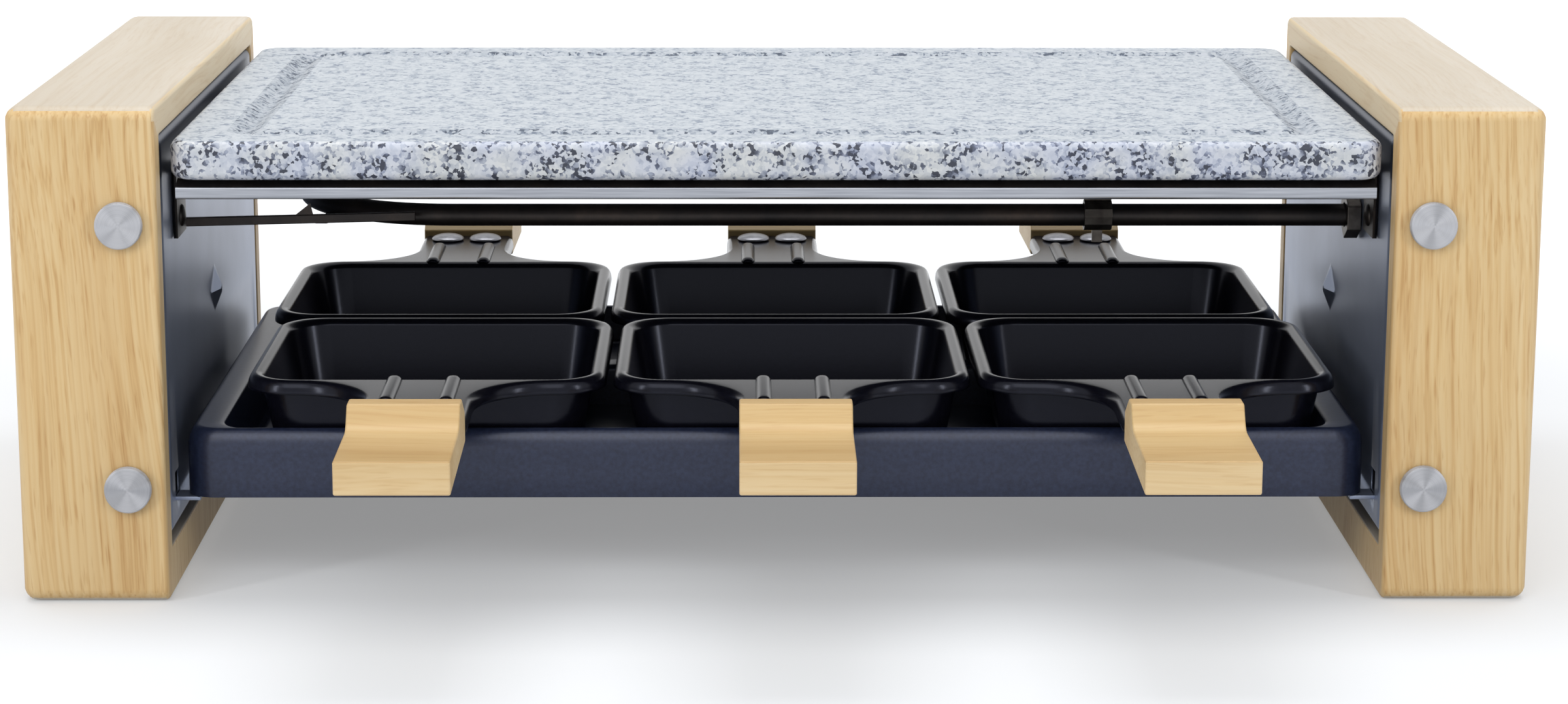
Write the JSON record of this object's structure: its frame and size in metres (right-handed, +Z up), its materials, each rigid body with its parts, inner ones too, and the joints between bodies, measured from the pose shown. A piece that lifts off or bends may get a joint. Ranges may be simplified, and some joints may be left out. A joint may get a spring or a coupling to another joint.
{
  "type": "raclette grill",
  "caption": "Table-top raclette grill with wooden end housings, a granite cooking stone, an open bay with a heating tube, and small handled pans on a pull-out deck.",
  "frame": {"origin": "on the table, under the middle of the grill", "axes": "+Z up, +X along the grill to the right-hand housing with the mains parts, -Y towards the user"},
  "size_m": [0.422, 0.378, 0.14],
  "materials": {
    "housing_wood": "clear satin lacquer, upright grain",
    "panel_steel": "satin blue-grey sheet",
    "bolt_steel": "turned and brushed heads",
    "rail_steel": "bright lip, darker top",
    "fitting_steel": "plain zinc-plated",
    "element_tube": "heat-darkened brown black",
    "insulator_ceramic": "white steatite",
    "black_plastic": "moulded, fine grain",
    "lead_sleeve": "glass-fibre sleeve over wire",
    "granite": "sawn and honed, light grey with dark specks",
    "deck_coating": "charcoal non-stick coat",
    "non_stick": "glossy black non-stick coat",
    "grip_wood": "clear satin lacquer, grain across the grip"
  },
  "bodies": {
    "frame": {"left_wood_housing": "housing_wood", "right_wood_housing": "housing_wood", "left_side_panel": "panel_steel", "right_side_panel": "panel_steel", "left_front_lower_bolt": "bolt_steel", "left_front_upper_bolt": "bolt_steel", "left_rear_lower_bolt": "bolt_steel", "left_rear_upper_bolt": "bolt_steel", "right_front_lower_bolt": "bolt_steel", "right_front_upper_bolt": "bolt_steel", "right_rear_lower_bolt": "bolt_steel", "right_rear_upper_bolt": "bolt_steel", "front_rail": "rail_steel", "rear_rail": "rail_steel", "heating_element": "element_tube", "front_element_lead": "lead_sleeve", "front_element_insulator": "insulator_ceramic", "front_element_collar": "fitting_steel", "front_element_clip": "fitting_steel", "rear_element_lead": "lead_sleeve", "rear_element_insulator": "insulator_ceramic", "rear_element_collar": "fitting_steel", "rear_element_clip": "fitting_steel", "bend_support": "element_tube", "thermal_cutout": "insulator_ceramic", "terminal_block": "insulator_ceramic", "cable_gland": "black_plastic", "gland_nut": "black_plastic", "switch_frame": "black_plastic"},
    "rocker": {"power_rocker": "black_plastic"},
    "stone": {"cooking_stone": "granite"},
    "deck": {"pan_deck": "deck_coating"},
    "pan_1": {"pan_1_dish": "non_stick", "pan_1_shank": "fitting_steel", "pan_1_grip": "grip_wood", "pan_1_grip_screw": "fitting_steel"},
    "pan_2": {"pan_2_dish": "non_stick", "pan_2_shank": "fitting_steel", "pan_2_grip": "grip_wood", "pan_2_grip_screw": "fitting_steel"},
    "pan_3": {"pan_3_dish": "non_stick", "pan_3_shank": "fitting_steel", "pan_3_grip": "grip_wood", "pan_3_grip_screw": "fitting_steel"},
    "pan_4": {"pan_4_dish": "non_stick", "pan_4_shank": "fitting_steel", "pan_4_grip": "grip_wood", "pan_4_grip_screw": "fitting_steel"},
    "pan_5": {"pan_5_dish": "non_stick", "pan_5_shank": "fitting_steel", "pan_5_grip": "grip_wood", "pan_5_grip_screw": "fitting_steel"},
    "pan_6": {"pan_6_dish": "non_stick", "pan_6_shank": "fitting_steel", "pan_6_grip": "grip_wood", "pan_6_grip_screw": "fitting_steel"}
  },
  "joints": [
    {"name": "stone_lift", "type": "slide", "parent": "frame", "child": "stone", "axis": [0, 0, 1], "range_m": [0, 0.06]},
    {"name": "deck_slide", "type": "slide", "parent": "frame", "child": "deck", "axis": [0, -1, 0], "range_m": [0, 0.18]},
    {"name": "rocker_tilt", "type": "hinge", "parent": "frame", "child": "rocker", "pos_m": [0.1851, 0.103, 0.0901], "axis": [-1, 0, 0], "range_deg": [0, 16]},
    {"name": "pan_1_lift", "type": "slide", "parent": "deck", "child": "pan_1", "axis": [0, 0, 1], "range_m": [0, 0.02]},
    {"name": "pan_2_lift", "type": "slide", "parent": "deck", "child": "pan_2", "axis": [0, 0, 1], "range_m": [0, 0.02]},
    {"name": "pan_3_lift", "type": "slide", "parent": "deck", "child": "pan_3", "axis": [0, 0, 1], "range_m": [0, 0.02]},
    {"name": "pan_4_lift", "type": "slide", "parent": "deck", "child": "pan_4", "axis": [0, 0, 1], "range_m": [0, 0.02]},
    {"name": "pan_5_lift", "type": "slide", "parent": "deck", "child": "pan_5", "axis": [0, 0, 1], "range_m": [0, 0.02]},
    {"name": "pan_6_lift", "type": "slide", "parent": "deck", "child": "pan_6", "axis": [0, 0, 1], "range_m": [0, 0.02]}
  ]
}
